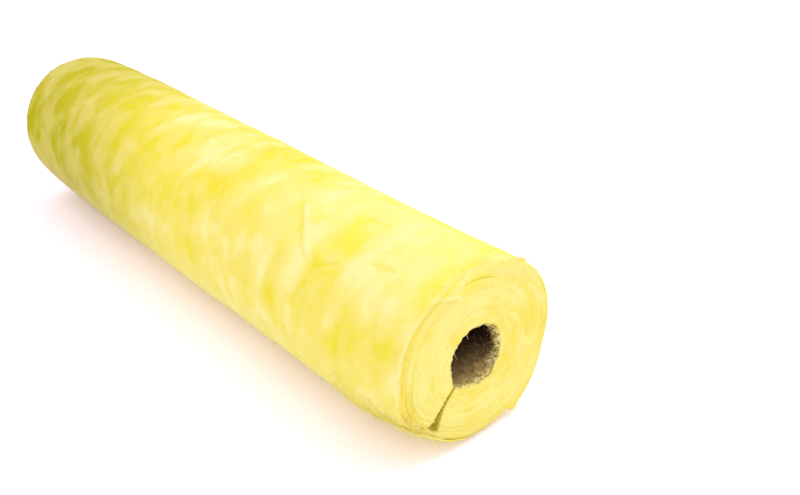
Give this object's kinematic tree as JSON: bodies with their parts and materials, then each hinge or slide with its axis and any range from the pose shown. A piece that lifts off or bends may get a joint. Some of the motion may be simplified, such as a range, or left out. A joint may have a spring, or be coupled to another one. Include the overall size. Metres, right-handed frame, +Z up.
{
  "type": "glass wool roll",
  "caption": "Wound glass wool tube for lagging a pipe: round bore, a slit through the wall down one side, spiral turns on both ends.",
  "frame": {"origin": "on the floor, under the middle of the roll as it lies", "axes": "+X along the bore, out of the end that shows; +Z up; the slit opens low on the side towards -Y, 50 degrees below level"},
  "size_m": [1, 0.24, 0.24],
  "materials": {
    "glass_wool": "matt, fibrous"
  },
  "bodies": {
    "root": {"wool_roll": "glass_wool"}
  },
  "joints": []
}
